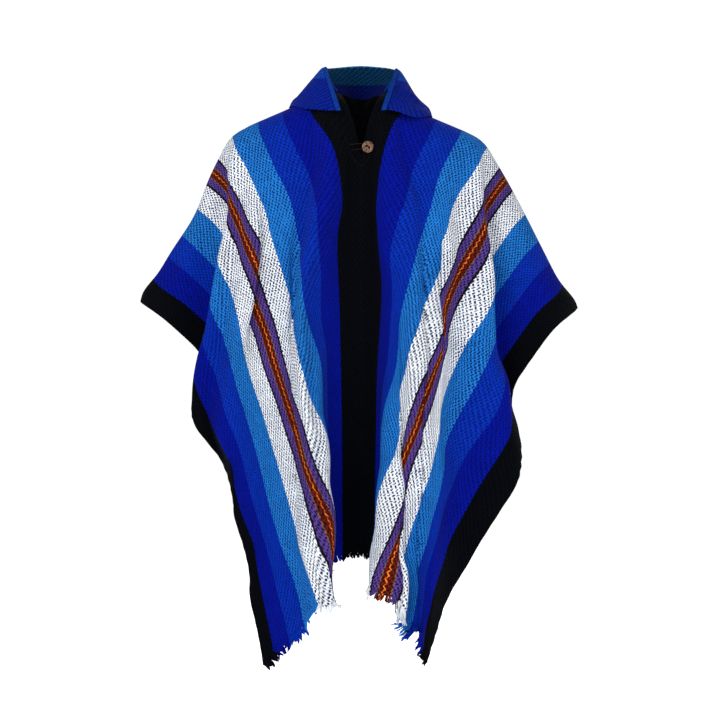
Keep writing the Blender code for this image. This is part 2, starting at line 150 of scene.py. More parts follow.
# sway of the front cloth in its own plane: place (s, t) and mm away from the centre
SWAYS = {
    -1: ((.046, .10, 12), (.046, .21, -12), (.138, .10, 14), (.138, .27, 0), (.138, .37, 16),
         (.138, .45, 22), (.138, .56, 4), (.193, .11, 10), (.193, .35, 0), (.193, .49, 14),
         (.193, .58, 15), (.193, .66, -8), (.242, .45, 0), (.242, .69, 8), (.242, .77, -6),
         (.295, .42, 7), (.295, .60, 0), (.295, .80, 10), (.344, .60, -3), (.399, .55, -5),
         (.399, .88, -10), (.491, .36, 8), (.491, .45, 14), (.491, .60, 3), (.491, .80, 0),
         (.540, .28, 20), (.540, .38, 0), (.540, .48, -26), (.540, .54, -22), (.540, .67, -16),
         (.540, .85, -8)),
    1: ((.046, .16, -12), (.046, .30, -8), (.138, .13, 4), (.138, .26, 12), (.138, .41, 13),
        (.138, .53, 12), (.138, .62, -2), (.193, .30, 8), (.193, .45, 2), (.193, .647, 18),
        (.193, .75, -3), (.242, .20, -5), (.242, .455, 13), (.242, .58, 0), (.242, .735, 26),
        (.242, .82, 20), (.295, .35, -6), (.295, .50, 5), (.295, .62, 0), (.295, .77, 22),
        (.344, .45, -10), (.344, .64, 9), (.344, .75, 0), (.399, .30, -10), (.399, .39, -24),
        (.399, .50, -18), (.399, .70, 9), (.491, .38, 8), (.491, .45, -10), (.491, .55, -26),
        (.491, .64, -14), (.491, .80, 3), (.540, .39, 30), (.540, .45, 18), (.540, .52, 0),
        (.540, .62, -24), (.540, .76, -16), (.540, .88, -4), (.193, .89, -20), (.242, .89, -9),
        (.295, .89, 42), (.344, .89, 26), (.399, .89, 4)),
}


# ---- the hung cloth, as in the part ----
def unit(v):
    return v / np.linalg.norm(v, axis=-1, keepdims=True)


def eased(x):
    """A rise from 0 to 1 with level ends."""
    return x * x * (3 - 2 * x)


def smoothed(values, odd_start, odd_end, width):
    """Running mean that keeps the first and last value of the column."""
    half = width // 2
    head = values[1:half + 1][::-1]
    tail = values[-half - 1:-1][::-1]
    if odd_start:
        head = 2 * values[0] - head
    if odd_end:
        tail = 2 * values[-1] - tail
    padded = np.concatenate([head, values, tail])
    return np.convolve(padded, np.ones(2 * half + 1) / (2 * half + 1), "valid")


def ray_table(rows, face):
    """Dense table of start, psi, turn, lean, fore and bow with the folds rounded."""
    columns = np.array([row[1 if face == FRONT else 2] for row in rows]).T
    odd = ((0, 1), (1, 1), (0, 0), (1, 0), (0, 1), (1, 1))
    q = np.linspace(0, len(rows) - 1, 40 * (len(rows) - 1) + 1)
    table = []
    for column, (start, end) in zip(columns, odd):
        dense = np.interp(q, np.arange(len(rows)), column)
        for _ in range(2):
            dense = smoothed(dense, start, end, 36)
        table.append(dense)
    for k in (1, 3, 4):
        table[k] = np.radians(table[k])
    return q, table


def centre_edge(side, face, t):
    """Slit edge and centre seam at the distance t: place, way down and slant to the seam."""
    steps = np.linspace(0, PANEL_L, 400)
    w = np.clip(steps / CHEST_TURN, 0, 1)
    dip = eased(w) * math.radians(90 - (CHEST_FORE if face == FRONT else BACK_FORE))
    run, fall = (np.concatenate([[0], np.cumsum(f(dip))[:-1]]) * steps[1] for f in (np.cos, np.sin))
    slit = SLIT_FRONT if face == FRONT else SLIT_BACK
    still = 1 - np.clip(t / slit, 0, 1)
    place = np.stack([side * NECK_X * still ** CLOSING, face * np.interp(t, steps, run),
                      NECK_Z - np.interp(t, steps, fall)], -1)
    dip = np.interp(t, steps, dip)
    way = np.stack([0 * dip, face * np.cos(dip), -np.sin(dip)], -1)
    slant = math.atan(NECK_X * CLOSING / slit) * still
    return place, way, slant


def hang(table, side, face, q, rho):
    """Position of points rho along the rays q."""
    grid, columns = table
    start, psi, turn, lean, fore, bow = (np.interp(q, grid, c) for c in columns)
    s0, t0 = np.maximum(start, 0), np.maximum(-start, 0)
    place, way, slant = centre_edge(side, face, t0)
    along = np.array([side * math.cos(SLOPE), 0.0, -math.sin(SLOPE)])
    place = place + s0[..., None] * along
    across = unit(along - way * (way @ along)[..., None])
    aim = (psi - slant * np.clip(1 - s0 / CANTED, 0, 1) * np.cos(psi))[..., None]
    flat = way * np.cos(aim) + across * np.sin(aim)
    down = np.stack([side * np.sin(lean) * np.cos(fore), face * np.sin(fore),
                     -np.cos(lean) * np.cos(fore)], -1)
    angle = np.maximum(np.arccos(np.clip((flat * down).sum(-1), -1, 1)), 1e-3)
    steps = 18
    for i in range(steps):
        w = eased(np.clip(rho * (i + 0.5) / steps / turn, 0, 1))
        heading = (flat * np.sin((1 - w) * angle)[..., None]
                   + down * np.sin(w * angle)[..., None]) / np.sin(angle)[..., None]
        place += heading * ((1 + BIAS * np.sin(2 * psi) * w) * rho / steps)[..., None]
    far = rho / (PANEL_L - t0)
    place[..., 0] += side * bow * np.maximum(4 * far * (1 - far), 0) ** 1.5
    return place


def ray_length(table, q):
    """Length of each ray up to the selvage or the hem, whichever comes first."""
    grid, columns = table
    start, psi = np.interp(q, grid, columns[0]), np.interp(q, grid, columns[1])
    to_edge = (PANEL_W - np.maximum(start, 0)) / np.maximum(np.sin(psi), 1e-6)
    to_hem = (PANEL_L + np.minimum(start, 0)) / np.maximum(np.cos(psi), 1e-6)
    return np.minimum(to_edge, to_hem)


def rays_at(table, s, t):
    """The rays that cross the line at the distance t from the shoulder, at the places s."""
    grid, (start, psi, *_) = table
    start_t = np.maximum(-start, 0)
    across = np.maximum(start, 0) + (t - start_t) * np.tan(np.minimum(psi, math.radians(89.9)))
    return np.interp(s, np.where(t < start_t, t - start_t, across), grid)


def cloth_rays(table, s, t):
    """Rays and distances along them of the cloth points (s, t), t counted from the shoulder."""
    q = np.stack([rays_at(table, a, b) for a, b in zip(s, t)])
    start = np.interp(q, table[0], table[1][0])
    return q, np.hypot(s - np.maximum(start, 0), t[:, None] - np.maximum(-start, 0))


def crease(side, face, q, far):
    """Height of the soft creases above the hung sheet, in metres."""
    height = 0 * q
    for row, width, begin, end, mm in CREASES[side, face]:
        run = np.clip((far - begin) / (end - begin), 0, 1)
        height += mm / 1000 * np.exp(-((q - row) / width) ** 2) * np.sin(math.pi * run) ** 2
    return height


def spaced(length, places, fine, coarse):
    """Marks from 0 to length, closely set within the given places."""
    marks = [0.0]
    while marks[-1] < length - fine:
        near = any(a <= marks[-1] <= b for a, b in places)
        marks.append(marks[-1] + (fine if near else coarse))
    marks = np.array(marks)
    return marks * length / marks[-1]


def sway(place, s, v, side):
    """Moves the front cloth sideways between its soft folds."""
    wide, long, still = 0.034, 0.055, 0.15  # spread of an entry, and the weight of no sway
    total, weight = 0 * s, still + 0 * s
    for s_at, t_at, mm in SWAYS[side]:
        near = np.exp(-((s - s_at) / wide) ** 2 - ((v - t_at) / long) ** 2)
        total, weight = total + near * mm / 1000, weight + near
    place = place.copy()
    place[..., 0] += side * total / weight * np.clip(v / 0.08, 0, 1) * np.clip(s / 0.04, 0, 1)
    return place


def between(table, x, y):
    """Values of a table at places between its rows and columns."""
    i, j = (np.minimum(a.astype(int), n - 2) for a, n in zip((x, y), table.shape))
    f, g = ((a - k).reshape(a.shape + (1,) * (table.ndim - 2)) for a, k in ((x, i), (y, j)))
    return ((1 - f) * ((1 - g) * table[i, j] + g * table[i, j + 1])
            + f * ((1 - g) * table[i + 1, j] + g * table[i + 1, j + 1]))


def s_bend(u, size, degrees, width):
    """Sideways and outward way of cloth that turns over and back within the width about u = 0."""
    reach, places, turns = 3.2, 256, 40  # half the table's width in widths, and its steps
    x = np.linspace(-reach, reach, places + 1)
    angle = np.linspace(0, math.radians(degrees), turns + 1)[:, None] * np.exp(-x * x)
    run, drop = (np.cumsum(f, axis=1) * (x[1] - x[0]) * width
                 for f in (np.cos(angle) - 1, -np.sin(angle)))
    i = np.clip(size, 0, 1) * turns
    j = np.clip((u / width + reach) / (2 * reach), 0, 1) * places
    return [between(way - way[:, [places // 2]], i, j) for way in (run, drop)]


def tuck(place, s, v, side):
    """Folds that lie over the cloth beside them and fade at their ends."""
    fade, run_way, drop_way = 2.8, 0.120, 0.050  # of a fold's ends, and of the cloth beside it
    for own_side, (s_a, v_a), (s_b, v_b), degrees, width in TUCKS:
        if own_side != side:
            continue
        ahead = np.array([s_b - s_a, v_b - v_a])
        long = np.hypot(*ahead)
        ahead /= long
        along = ((s - s_a) * ahead[0] + (v - v_a) * ahead[1]) / long
        u = (s - s_a) * ahead[1] - (v - v_a) * ahead[0]
        size = eased(np.clip(np.minimum(along, 1 - along) * fade, 0, 1))
        d_s, d_v = (np.gradient(place, x, axis=k) for x, k in ((s[:, 0], 0), (v[0], 1)))
        across = unit(d_s * ahead[1] - d_v * ahead[0])
        out = unit(np.cross(d_s, d_v)) * side
        run, drop = s_bend(u, size, degrees, width)
        run = run * np.clip(1 - np.abs(u) / run_way, 0, 1) ** 1.5
        drop = drop * 0.55 * np.exp(-(u / drop_way) ** 2)
        place = place + across * run[..., None] + out * drop[..., None]
    return place


def settled(place):
    """Places moved as the worn cloth settles."""
    for side, middle, spread, near, far, outward, down in SETTLES:
        reach, height = side * place[..., 0], place[..., 2]
        rise, fall = (np.clip((reach - a) / (b - a), 0, 1) for a, b in (near, far))
        size = eased(rise) * (1 - eased(fall)) * np.exp(-((height - middle) / spread) ** 2)
        place = place + size[..., None] * np.array([side * outward, 0.0, -down]) / 1000
    return place


def grid_quads(form, ring=((0, 0), (0, 1), (1, 1), (1, 0))):
    """The quads of a grid of points, with their corners in the order of the ring."""
    n, m = form[:2]
    ids = np.arange(n * m).reshape(n, m)
    return np.stack([ids[i:n - 1 + i, j:m - 1 + j] for i, j in ring], -1).reshape(-1, 4)


def panel_sheet(rows, side):
    """One loom length on a grid of warp and weft: points, cloth coordinates and quads."""
    near_hem, near_selvage = 0.035, 0.02
    s = spaced(PANEL_W, ((0.165, 0.345),), 0.0025, 0.0068)
    halves, marks = [], []
    for face, fine, coarse in ((BACK, 0.0072, 0.0072), (FRONT, 0.0042, 0.0062)):
        t = spaced(PANEL_L, ((0.150, 0.880),), fine, coarse)
        marks.append(t)
        table = ray_table(rows, face)
        q, rho = cloth_rays(table, np.tile(s, (len(t), 1)), t)
        place = hang(table, side, face, q, rho)
        lift = crease(side, face, q, rho / ray_length(table, q))
        frill = np.clip((t[:, None] - PANEL_L + near_hem) / near_hem, 0, 1) ** 2
        lift += frill * 0.0014 * np.sin(s * 260 + 2.0 * np.sin(s * 41)) * np.clip(s / 0.04, 0, 1)
        edge = np.clip((s - PANEL_W + near_selvage) / near_selvage, 0, 1) ** 2
        edge = edge * np.clip(t / 0.04, 0, 1)[:, None]
        lift += edge * 0.0008 * np.sin(t * 210 + 1.5 * np.sin(t * 37))[:, None]
        halves.append((place, lift))
    place = np.concatenate([halves[0][0][:0:-1], halves[1][0]]).swapaxes(0, 1)
    lift = np.concatenate([halves[0][1][:0:-1], halves[1][1]]).T
    ss, vv = np.meshgrid(s, np.concatenate([-marks[0][:0:-1], marks[1]]), indexing="ij")
    d_s, d_v = (np.gradient(place, x, axis=k) for x, k in ((ss[:, 0], 0), (vv[0], 1)))
    place = place + unit(np.cross(d_s, d_v)) * side * lift[..., None]
    place = tuck(sway(place, ss, vv, side), ss, vv, side)
    ring = ((0, 0), (1, 0), (1, 1), (0, 1))
    quads = grid_quads(ss.shape, ring if side > 0 else ring[::-1])
    return place.reshape(-1, 3), np.stack([ss, vv], -1).reshape(-1, 2), quads


def quad_normals(points, quads):
    """Normals of the quads, each as long as twice its quad's area."""
    a, b, c, d = (points[quads[:, k]] for k in range(4))
    return np.cross(c - a, d - b)


def sheet_normals(points, quads):
    """Unit normals at the points of a sheet. Those of the panels point into the garment."""
    face = quad_normals(points, quads)
    normals = np.zeros_like(points)
    for k in range(4):
        np.add.at(normals, quads[:, k], face)
    return unit(normals)


def thicken(points, quads, wall):
    """Closed wall about a sheet: the face that its normals point to, then the other and the rim."""
    normals = sheet_normals(points, quads)
    n = len(points)
    both = np.concatenate([points + normals * wall / 2, points - normals * wall / 2])
    edges = np.concatenate([quads[:, [k, (k + 1) % 4]] for k in range(4)])
    known = set(map(tuple, edges.tolist()))
    rim = [(b, a, n + a, n + b) for a, b in known if (b, a) not in known]
    return both, np.concatenate([quads, n + quads[:, ::-1], np.array(sorted(rim))])


def ring_quads(base, sides):
    """The quads between a ring of points and the ring after it."""
    return [(base + c, base + (c + 1) % sides, base + sides + (c + 1) % sides, base + sides + c)
            for c in range(sides)]


def add_object(name, data):
    """An object of the given data, in the scene."""
    made = bpy.data.objects.new(name, data)
    bpy.context.scene.collection.objects.link(made)
    return made


def add_uv(mesh, name, uv):
    """A UV map from one value for each point, in metres of cloth."""
    layer = mesh.uv_layers.new(name=name)
    corner = np.zeros(len(mesh.loops), int)
    mesh.loops.foreach_get("vertex_index", corner)
    layer.data.foreach_set("uv", np.asarray(uv, float)[corner].ravel())


def add_mesh(name, points, faces, uv, material):
    """A smooth mesh piece with the UV map "cloth"."""
    mesh = bpy.data.meshes.new(name)
    mesh.from_pydata(np.asarray(points).tolist(), [], [[int(k) for k in f] for f in faces])
    add_uv(mesh, "cloth", uv)
    mesh.polygons.foreach_set("use_smooth", [True] * len(mesh.polygons))
    mesh.materials.append(material)
    return add_object(name, mesh)


# ---- materials ----
def srgb(code):
    """Linear colour of an sRGB hex code."""
    parts = [int(code[k:k + 2], 16) / 255 for k in (0, 2, 4)]
    return tuple(c / 12.92 if c <= .04045 else ((c + .055) / 1.055) ** 2.4 for c in parts) + (1.0,)


def node(tree, kind, inputs=None, **settings):
    """A node with its settings; inputs are linked where a socket is given, set otherwise."""
    made = tree.nodes.new(kind)
    for key, value in settings.items():
        setattr(made, key, value)
    for key, value in (inputs or {}).items():
        if isinstance(value, bpy.types.NodeSocket):
            tree.links.new(value, made.inputs[key])
        else:
            made.inputs[key].default_value = value
    return made


def output(*args, **settings):
    """The first output of a new node."""
    return node(*args, **settings).outputs[0]


def new_material(name):
    made = bpy.data.materials.new(name)
    made.use_nodes = True
    made.node_tree.nodes.clear()
    return made, made.node_tree


def maths(tree, operation, *values):
    return output(tree, "ShaderNodeMath", dict(enumerate(values)), operation=operation)


def noise(tree, place, scale, detail):
    return output(tree, "ShaderNodeTexNoise", {"Vector": place, "Scale": scale, "Detail": detail})


def mapped(tree, value, low, high, to_low=0.0, to_high=1.0, **settings):
    """The value between low and high, brought between to_low and to_high."""
    return output(tree, "ShaderNodeMapRange",
                  {0: value, 1: low, 2: high, 3: to_low, 4: to_high}, **settings)


def mixed(tree, factor, first, second, **settings):
    return node(tree, "ShaderNodeMix", {0: factor, 6: first, 7: second},
                data_type="RGBA", **settings).outputs[2]


def vector(tree, x=0.0, y=0.0, z=0.0):
    return output(tree, "ShaderNodeCombineXYZ", {0: x, 1: y, 2: z})


def two_axes(tree, place):
    return node(tree, "ShaderNodeSeparateXYZ", {0: place}).outputs[:2]


def surface(tree, colour, height, strength, depth, roughness, gloss, **more):
    """The end of a material: bump from a height, shader and output."""
    bump = output(tree, "ShaderNodeBump",
                  {"Strength": strength, "Distance": depth, "Height": height})
    values = {"Base Color": colour, "Roughness": roughness, "Specular IOR Level": gloss}
    values.update((key.replace("_", " "), value) for key, value in more.items())
    shader = output(tree, "ShaderNodeBsdfPrincipled", {**values, "Normal": bump})
    node(tree, "ShaderNodeOutputMaterial", {0: shader})


def scaled(tree, value, factor, shift=0.0):
    return maths(tree, "MULTIPLY_ADD", value, factor, shift)


def ramp(tree, factor, stops, kind="CONSTANT"):
    made = node(tree, "ShaderNodeValToRGB", {0: factor})
    made.color_ramp.interpolation = kind
    for k, (place, colour) in enumerate(stops):
        item = made.color_ramp.elements[k] if k < 2 else made.color_ramp.elements.new(place)
        item.position, item.color = place, srgb(colour)
    return made.outputs[0]


# stripe, width in mm, colour of the warp, colour between the warp ends: the weft darkened with
# painted shade
OUTER = (("black", 46, "03050b", "010103"), ("deep blue", 48, "02128e", "010b72"),
         ("mid blue", 44, "042da6", "021c84"), ("light blue", 55, "1f74ca", "04306e"),
         ("white", 49, "e9eef5", "28325e"))
BAND = (("dark line", 3.5, "1a1216", "0a0709"), ("purple", 12.5, "523c88", "22154a"),
        ("tan", 3, "7e5644", "4a2c28"), ("rust", 6.6, "5c1a10", "280a08"))
STRIPES = OUTER + BAND + (("orange", 2.8, "ee761e", "b8440e"),) + BAND[::-1] + OUTER[:0:-1] + (
    ("black", 49, "03050b", "010103"),)
WEAVE_S, WEAVE_T = 0.0070, 0.0104  # repeat of the gaps across and along the warp
ZIGZAG, ORANGE_AT = 0.012, 0.2685  # repeat of the orange chain and the place of its middle


def cloth_stripes(tree, s, stripes, colour):
    """Warp stripes across the cloth, the first from s = 0."""
    width = sum(stripe[1] for stripe in stripes) / 1000
    stops, at = [], 0.0
    for stripe in stripes:
        stops.append((at / 1000 / width, stripe[colour]))
        at += stripe[1]
    return ramp(tree, maths(tree, "DIVIDE", s, width), stops)


# the collar's cloth, across its warp: from its seam up the stand to the fold, then down the fall; on
# the stand the black band at the seam and the darker deep blue and teal are painted shade, while the
# fall's mid and deep blue are the cloth's own
COLLAR_FOLD = 0.100
# the light 7 mm stripe over the fold is a painted highlight on the fold's crest
COLLAR_STRIPES = (("black", 36, "02030a", "010103"), ("deep blue", 28, "02125c", "010838"),
                  ("mid blue in painted shade", 34, "05385c", "021c38"), ("painted fold highlight", 7, "1c74b4", "0a3f78"),
                  ("mid blue", 33, "0a46b0", "022480"), ("deep blue", 70, "03229a", "010e64"))
# from its front ends, which are turned in: the turned band, the groove beside it, and where the
# doubled cloth steps down
TURNED, GROOVE, STEP = 0.0095, 0.0102, 0.0108


def wool(name, woven, stripes=STRIPES, folded=False):
    """Handwoven wool: matt, a little fuzzy, with thick warp ends and the weft in their gaps,
    darkened there with painted shade.
    """
    made, tree = new_material(name)
    uv = output(tree, "ShaderNodeUVMap", uv_map="cloth")
    s, t = two_axes(tree, uv)
    wobble = noise(tree, uv, 260.0, 1.0)
    edge = scaled(tree, wobble, 0.0038, -0.0019)  # stripes' edges waver
    swing = maths(tree, "PINGPONG", t, ZIGZAG / 2)
    swing = scaled(tree, swing, 0.5, -0.5 * ZIGZAG / 4)  # the orange chain zigzags
    middle = maths(tree, "ABSOLUTE", maths(tree, "SUBTRACT", s, ORANGE_AT))
    inside = mapped(tree, middle, 0.009, 0.004)
    seen = maths(tree, "ADD", s, scaled(tree, swing, inside, edge))

    warp = cloth_stripes(tree, seen, stripes, 2)
    streak = noise(tree, vector(tree, scaled(tree, s, 620.0), scaled(tree, t, 34.0)), 1.0, 2.0)
    height = streak
    tone = mapped(tree, streak, 0.3, 0.7, 0.76, 1.18)
    if woven:
        # colour between the warp ends: the weft with painted shade
        weft = cloth_stripes(tree, seen, stripes, 3)
        bend = scaled(tree, noise(tree, uv, 55.0, 1.0), 3.4, scaled(tree, wobble, 3.0, -3.2))
        along = scaled(tree, scaled(tree, s, 0.35, t), 2 * math.pi / WEAVE_T, bend)
        slant = scaled(tree, maths(tree, "SINE", along), -0.9, bend)
        across = scaled(tree, scaled(tree, t, 0.12, s), 2 * math.pi / WEAVE_S, slant)
        lattice = scaled(tree, maths(tree, "COSINE", across), maths(tree, "COSINE", along))
        low = mapped(tree, noise(tree, uv, 14.0, 2.0), 0.35, 0.65, 0.22, 0.0)
        gaps = mapped(tree, lattice, low, maths(tree, "ADD", low, 0.28),
                      interpolation_type="SMOOTHSTEP")
        warp = mixed(tree, gaps, warp, weft)
        height = scaled(tree, gaps, -1.4, scaled(tree, lattice, -0.5, streak))
        # painted shade of the weave's relief: darker over the sunken gaps, lighter over the warp
        # ends
        tone = scaled(tree, lattice, -0.16, tone)
    if folded:
        ends = two_axes(tree, output(tree, "ShaderNodeUVMap", uv_map="ends"))[0]
        turned = scaled(tree, maths(tree, "LESS_THAN", ends, TURNED), 0.8)
        warp = mixed(tree, turned, warp, srgb("083e9e"))
        # painted shade: a dark navy line in the groove beside the turned band, over the groove's
        # bump
        groove = maths(tree, "ABSOLUTE", maths(tree, "SUBTRACT", ends, GROOVE))
        groove = maths(tree, "LESS_THAN", groove, 0.0008)
        warp = mixed(tree, groove, warp, srgb("010a40"))
        height = scaled(tree, groove, -1.5, height)
    colour = mixed(tree, 1.0, warp, vector(tree, tone, tone, tone), blend_type="MULTIPLY")
    height = scaled(tree, noise(tree, uv, 1500.0, 2.0), 0.5, height)
    surface(tree, colour, height, 0.9, 0.0010, 0.92, 0.03, Sheen_Weight=0.01, Sheen_Roughness=0.6)
    return made


def yarn(name, colour, dark):
    """Plied wool or cotton thread: matt, with painted shade in the grooves between its plies."""
    made, tree = new_material(name)
    ply = noise(tree, node(tree, "ShaderNodeTexCoord").outputs["Object"], 900.0, 2.0)
    # the dark colour at the low places of the ply bump is painted shade
    tint = ramp(tree, ply, ((0.35, dark), (0.62, colour)), "LINEAR")
    surface(tree, tint, ply, 0.6, 0.0003, 0.85, 0.08)
    return made


HOLES, HOLE_R = 0.0031, 0.0019  # distance from the middle and radius of the button's two holes
HOLE_TURN = math.radians(-24)
COS, SIN = math.cos(HOLE_TURN), math.sin(HOLE_TURN)


def coconut_shell(name):
    """Polished coconut shell: brown with pale flecks along its grain, a little glossy, with painted
    shade inside its two holes.
    """
    made, tree = new_material(name)
    uv = output(tree, "ShaderNodeUVMap", uv_map="cloth")
    x, y = two_axes(tree, uv)
    grain = noise(tree, vector(tree, scaled(tree, x, 1500.0), scaled(tree, y, 380.0)), 1.0, 3.0)
    blotch = scaled(tree, noise(tree, uv, 240.0, 2.0), 0.4)
    tint = ramp(tree, scaled(tree, grain, 0.6, blotch),
                ((0.38, "140b07"), (0.49, "4a2e1c"), (0.58, "9c7250"), (0.68, "d2ae88")), "LINEAR")
    along, aside = two_axes(tree, output(tree, "ShaderNodeVectorRotate", {
        "Vector": uv, "Angle": -HOLE_TURN}, rotation_type="Z_AXIS"))
    along = maths(tree, "SUBTRACT", maths(tree, "ABSOLUTE", along), HOLES)
    reach = maths(tree, "SQRT", scaled(tree, along, along, scaled(tree, aside, aside)))
    # painted shade: near black inside the two holes
    inside = mapped(tree, reach, HOLE_R * 1.15, HOLE_R * 0.75)
    surface(tree, mixed(tree, inside, tint, srgb("0a0604")), grain, 0.35, 0.0002, 0.38, 0.45)
    return made


striped_wool = wool("handwoven striped wool", True)
collar_wool = wool("handwoven blue wool", True, COLLAR_STRIPES, True)
frayed_wool = wool("frayed wool yarn", False)
seam_yarn = yarn("black wool sewing yarn", "0c0b10", "020204")
slit_yarn = yarn("dark brown wool yarn", "1a1517", "060405")
hem_thread = yarn("navy sewing thread", "06164a", "010418")
brown_cord = yarn("twisted brown cord", "2a1c15", "0b0705")
shell = coconut_shell("polished coconut shell")


# ---- panels and fringe ----
# frayed ends of the warp, from the centre out: panel side, up to which s, mm long in front, mm
# thick, lean to the centre
FRAYED = (
    (-1, .193, 12, 2.2, 0.0), (-1, .242, 17, 1.7, 0.1), (-1, .295, 13, 2.2, 0.1),
    (-1, .344, 17, 1.7, -.2), (-1, .443, 19, 2.6, -.1), (-1, .491, 20, 2.8, -.1),
    (-1, .540, 17, 3.0, 0.1), (1, .193, 12, 2.2, 0.0), (1, .242, 21, 1.9, 0.0),
    (1, .295, 12, 2.6, 0.1), (1, .344, 24, 2.4, -.5), (1, .399, 29, 2.5, 0.35),
    (1, .443, 30, 2.8, 0.30), (1, .491, 20, 2.8, 0.2), (1, .540, 12, 3.0, 0.1),
)
BACK_MM = 17  # longest frayed end at the back
ROOT = 0.002  # how far a strand is rooted in the cloth
STRANDS = 7  # in a tuft
TAPER = (0.95, 1.0, 1.0, 0.95, 0.70)  # thickness at the places along a strand


def fringe_strands(sheet, face, side, rng):
    """Tufts of frayed warp ends along one hem: points, faces and cloth coordinates."""
    points, cloth, quads = sheet
    at = np.where(np.abs(cloth[:, 1] + face * PANEL_L) < 1e-5)[0]
    normal = -sheet_normals(points, quads)[at]
    along = unit(np.gradient(points[at], axis=0))
    down = unit(np.cross(along, normal))
    down *= -np.sign(down[:, 2:])

    def on_hem(line, s):
        return np.array([np.interp(s, cloth[at, 0], line[:, k]) for k in range(3)])

    out, faces, uv = [], [], []
    centre = 0.003
    while centre < PANEL_W - 0.002:
        mm, thick_mm, lean_in = next(row[2:] for row in FRAYED if row[0] == side and centre < row[1])
        if face == BACK:
            mm = min(mm, BACK_MM)
        reach = mm / 1000 * rng.uniform(0.65, 1.1)
        lean = rng.uniform(-0.14, 0.14) - lean_in
        lift, curl = rng.uniform(-0.2, 0.5), rng.uniform(-0.3, 0.3)
        for _ in range(STRANDS):
            s = np.clip(centre + rng.uniform(-0.0030, 0.0030), 0.001, PANEL_W - 0.001)
            root, way, out_way, side_way = (on_hem(v, s) for v in (points[at], down, normal, along))
            root = root - way * ROOT + out_way * rng.uniform(-0.0008, 0.0008)
            length = reach * rng.uniform(0.82, 1.06) + ROOT
            gather = (centre - s) * 0.12 / length
            thick = thick_mm / 2000 * rng.uniform(0.8, 1.15)
            base = len(out)
            hand = 1 if np.cross(side_way, out_way) @ way > 0 else -1
            for k, taper in enumerate(TAPER):
                f = k / 4
                bent = way + side_way * (gather + lean * f + curl * f * f) + out_way * lift * f
                for c in range(4):
                    a = (math.pi / 2 * c + 0.5 * k) * hand
                    corner = side_way * math.cos(a) + out_way * math.sin(a)
                    out.append(root + bent * length * f + corner * (thick * taper))
                    uv.append((s, -face * (PANEL_L + ROOT + length * f)))
                if k:
                    faces += ring_quads(base + 4 * k - 4, 4)
            faces += [(base + 3, base + 2, base + 1, base), tuple(base + 16 + c for c in range(4))]
        centre += rng.uniform(0.0046, 0.0060)
    return out, faces, uv


SEAM_BACK = 0.085  # the seam behind begins under the collar

rng = np.random.default_rng(11)
grids, panels = {}, {}
for name, rows, side in (("right", RIGHT_PANEL, -1), ("left", LEFT_PANEL, 1)):
    sheet = panel_sheet(rows, side)
    sheet = (settled(sheet[0]), *sheet[1:])
    marks = np.unique(sheet[1][:, 0]), np.unique(sheet[1][:, 1])
    form = (len(marks[0]), len(marks[1]), 3)
    grids[name] = (*marks, sheet[0].reshape(form), -sheet_normals(sheet[0], sheet[2]).reshape(form))
    both, faces = thicken(sheet[0], sheet[2], WALL)
    uv = np.tile(sheet[1], (2, 1))
    seam = (uv[:, 0] < 1e-6) & ((uv[:, 1] > SLIT_FRONT) | (uv[:, 1] < -SEAM_BACK))
    both[seam, 0] = 0.0
    panel = add_mesh(f"cloth_{name}", both, faces, uv, striped_wool)
    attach(panel, "root")
    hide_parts(f"panel_{name}")
    for face, where in ((FRONT, "front"), (BACK, "back")):
        out, faces, uv = fringe_strands(sheet, face, side, rng)
        tuft = add_mesh(f"tufts_{where}_{name}", out, faces, uv, frayed_wool)
        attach(tuft, "root")
        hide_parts(f"fringe_{where}_{name}")
    panels[name] = panel

# ---- the collar, as in the part ----
# station: slit face, distance from the shoulder line along the slit, then the fold line,
# the middle of the fall, its brim and its outer edge, for the wearer's left half
COLLAR = (
    (FRONT, 0.0420, (0.064, -0.030, 0.077), (0.0515, -0.077, 0.037), (0.044, -0.098, 0.014),
     (0.036, -0.114, -0.011)),
    (FRONT, 0.0220, (0.070, -0.008, 0.080), (0.088, -0.047, 0.044), (0.090, -0.078, 0.021),
     (0.083, -0.103, -0.008)),
    (FRONT, 0.0001, (0.070, 0.020, 0.083), (0.101, 0.006, 0.047), (0.124, -0.008, 0.029),
     (0.130, -0.022, 0.004)),
    (BACK, 0.0500, (0.056, 0.068, 0.090), (0.084, 0.085, 0.058), (0.107, 0.088, 0.038),
     (0.114, 0.088, 0.016)),
    (BACK, 0.0930, (0.000, 0.094, 0.098), (0.000, 0.113, 0.062), (0.000, 0.124, 0.038),
     (0.000, 0.130, 0.012)),
)
COLLAR_WALL = 0.0024
COLLAR_AROUND, COLLAR_DOWN = 168, 72  # steps along the neck and from the seam to the edge
FOLD_AT, REST_FROM = COLLAR_DOWN * 2 // 5, COLLAR_DOWN * 7 // 10
FOOT = 0.0032  # from the slit's edge to the collar's
STITCH_LINE = 0.0088  # from the collar's front ends to their stitches


def spline(knots, u):
    """Points on the Catmull-Rom curve through the knots, u from 0 to 1."""
    knots = np.asarray(knots, float)
    first, last = 2 * knots[0] - knots[1], 2 * knots[-1] - knots[-2]
    p = np.concatenate([[first], knots, [last]])
    x = np.asarray(u) * (len(knots) - 1)
    i = np.minimum(x.astype(int), len(knots) - 2)
    f = (x - i)[:, None]
    a, b, c, d = p[i], p[i + 1], p[i + 2], p[i + 3]
    return b + 0.5 * f * (c - a + f * (2 * a - 5 * b + 4 * c - d + f * (3 * (b - c) + d - a)))


def run_length(points, axis):
    """Length run along one axis of a grid of points, from its start."""
    steps = np.linalg.norm(np.diff(points, axis=axis), axis=-1)
    return np.concatenate([np.zeros_like(np.take(steps, [0], axis)), np.cumsum(steps, axis)], axis)


